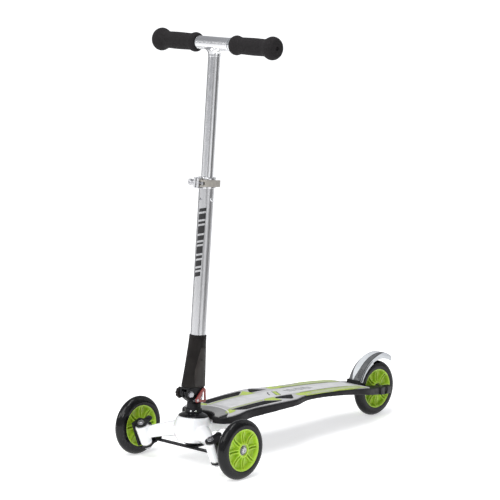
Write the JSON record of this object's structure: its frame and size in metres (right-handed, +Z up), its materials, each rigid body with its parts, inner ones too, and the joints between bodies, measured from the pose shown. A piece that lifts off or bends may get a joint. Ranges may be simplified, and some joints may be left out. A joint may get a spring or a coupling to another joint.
{
  "type": "kick scooter",
  "caption": "Folding kick scooter for children with two steered front wheels, a braked rear wheel, a grip deck and a height-adjustable T handlebar.",
  "frame": {"origin": "centre of the bounding box footprint, on the floor between the wheels", "axes": "+Z up, -Y towards the front wheels, +X towards the rider's left side"},
  "size_m": [0.339, 0.7244, 0.8988],
  "materials": {
    "deck_black": "black moulded deck, fine matt grain",
    "pad_grey": "pale lilac-grey grip sheet with lime and white bands",
    "panel_grey": "mid-grey nose panel",
    "insert_black": "black ribbed rubber inserts",
    "beam_white": "glossy white moulding",
    "hub_lime": "lime green moulded hub",
    "tyre_black": "glossy black polyurethane tyre",
    "bearing_steel": "ground steel bearing",
    "steel": "zinc-plated steel fastener",
    "black_metal": "satin black coated metal",
    "black_plastic": "satin black moulding",
    "red_metal": "dark red coated lever",
    "tube_silver": "bright anodised aluminium tube",
    "collar_silver": "polished aluminium clamp",
    "lever_taupe": "taupe-grey lever moulding",
    "chrome": "polished chrome",
    "bush_white": "nylon bush",
    "foam": "charcoal foam grip",
    "fender_grey": "silver-grey fender with darker side panel",
    "spring_steel": "spring steel",
    "brake_black": "brake pad compound"
  },
  "bodies": {
    "frame": {"deck_shell": "deck_black", "grip_pad": "pad_grey", "nose_panel": "panel_grey", "grip_inserts": "insert_black", "deck_screws": "steel", "front_beam": "beam_white", "headset_bearings": "bearing_steel", "kingpin_bushes": "bush_white", "rear_axle": "steel", "rear_spacers": "steel", "fender_pin": "steel", "fender_spring": "spring_steel"},
    "steering": {"steerer_tube": "steel", "steering_arm": "black_metal", "steering_arm_pins": "steel", "lower_hinge": "black_metal", "neck_screws": "steel", "cone_cover": "black_plastic", "fold_pin": "steel"},
    "fold_latch": {"latch_shaft": "steel", "red_lever": "red_metal"},
    "column": {"upper_hinge": "black_metal", "cross_bolt": "steel", "lower_tube": "tube_silver", "hinge_cover": "black_plastic", "collar_clamp": "collar_silver", "collar_bolt": "steel", "top_bush": "bush_white", "guide_screw": "steel"},
    "hinge_knob": {"tension_knob": "black_plastic"},
    "collar_lever": {"clamp_lever": "lever_taupe"},
    "button": {"height_button": "chrome"},
    "handlebar": {"upper_post": "tube_silver", "snap_spring": "spring_steel", "crossbar": "tube_silver", "left_grip": "foam", "right_grip": "foam", "left_grip_core": "chrome", "right_grip_core": "chrome"},
    "left_steer": {"left_knuckle": "black_metal", "left_kingpin": "steel", "left_stub_axle": "steel", "left_tie_pin": "steel"},
    "right_steer": {"right_knuckle": "black_metal", "right_kingpin": "steel", "right_stub_axle": "steel", "right_tie_pin": "steel"},
    "track_rod": {"tie_rod": "black_metal"},
    "left_wheel": {"left_front_tyre": "tyre_black", "left_front_hub": "hub_lime", "left_front_bearings": "bearing_steel"},
    "right_wheel": {"right_front_tyre": "tyre_black", "right_front_hub": "hub_lime", "right_front_bearings": "bearing_steel"},
    "back_wheel": {"rear_tyre": "tyre_black", "rear_hub": "hub_lime", "rear_bearings": "bearing_steel"},
    "brake": {"rear_fender": "fender_grey", "brake_pad": "brake_black"}
  },
  "joints": [
    {"name": "steer", "type": "hinge", "parent": "frame", "child": "steering", "pos_m": [0, -0.28745, 0.0625], "axis": [0, 0.0889, 0.996], "range_deg": [-25, 25]},
    {"name": "left_kingpin_turn", "type": "hinge", "parent": "frame", "child": "left_steer", "pos_m": [0.101, -0.3275, 0.0555], "axis": [0, -0.342, 0.9397], "range_deg": [-25.5, 25.5]},
    {"name": "right_kingpin_turn", "type": "hinge", "parent": "frame", "child": "right_steer", "pos_m": [-0.101, -0.3275, 0.0555], "axis": [0, -0.342, 0.9397], "range_deg": [-25.5, 25.5]},
    {"name": "tie_rod_pivot", "type": "hinge", "parent": "left_steer", "child": "track_rod", "pos_m": [0.101, -0.29875, 0.04463], "axis": [0, -0.342, 0.9397], "range_deg": [-25.5, 25.5]},
    {"name": "fold", "type": "hinge", "parent": "steering", "child": "column", "pos_m": [0, -0.27597, 0.14501], "axis": [-1, 0, 0], "range_deg": [0, 82]},
    {"name": "latch_turn", "type": "hinge", "parent": "steering", "child": "fold_latch", "pos_m": [0, -0.28798, 0.14096], "axis": [-1, 0, 0], "range_deg": [0, 28]},
    {"name": "knob_turn", "type": "hinge", "parent": "column", "child": "hinge_knob", "pos_m": [-0.018, -0.30395, 0.15554], "axis": [1, 0, 0], "continuous": true},
    {"name": "collar_open", "type": "hinge", "parent": "column", "child": "collar_lever", "pos_m": [0.0124, -0.26623, 0.59271], "axis": [0, -0.0889, -0.996], "range_deg": [0, 110]},
    {"name": "button_press", "type": "slide", "parent": "column", "child": "button", "axis": [-1, 0, 0], "range_m": [0, 0.0012], "stiffness_N_per_m": 800, "springref_m": -0.002},
    {"name": "height", "type": "slide", "parent": "column", "child": "handlebar", "axis": [0, -0.0889, -0.996], "range_m": [0, 0.2]},
    {"name": "left_roll", "type": "hinge", "parent": "left_steer", "child": "left_wheel", "pos_m": [0.1488, -0.2997, 0.0625], "axis": [1, 0, 0], "continuous": true},
    {"name": "right_roll", "type": "hinge", "parent": "right_steer", "child": "right_wheel", "pos_m": [-0.1488, -0.2997, 0.0625], "axis": [1, 0, 0], "continuous": true},
    {"name": "rear_roll", "type": "hinge", "parent": "frame", "child": "back_wheel", "pos_m": [0, 0.2997, 0.0625], "axis": [1, 0, 0], "continuous": true},
    {"name": "brake_press", "type": "hinge", "parent": "frame", "child": "brake", "pos_m": [0, 0.2315, 0.077], "axis": [-1, 0, 0], "range_deg": [0, 5.5], "stiffness_Nm_per_rad": 1.5, "springref_deg": -17.19}
  ],
  "couplings": [
    {"joint": "left_kingpin_turn", "follows": "steer", "ratio": 1},
    {"joint": "right_kingpin_turn", "follows": "steer", "ratio": 1},
    {"joint": "tie_rod_pivot", "follows": "steer", "ratio": -1}
  ]
}
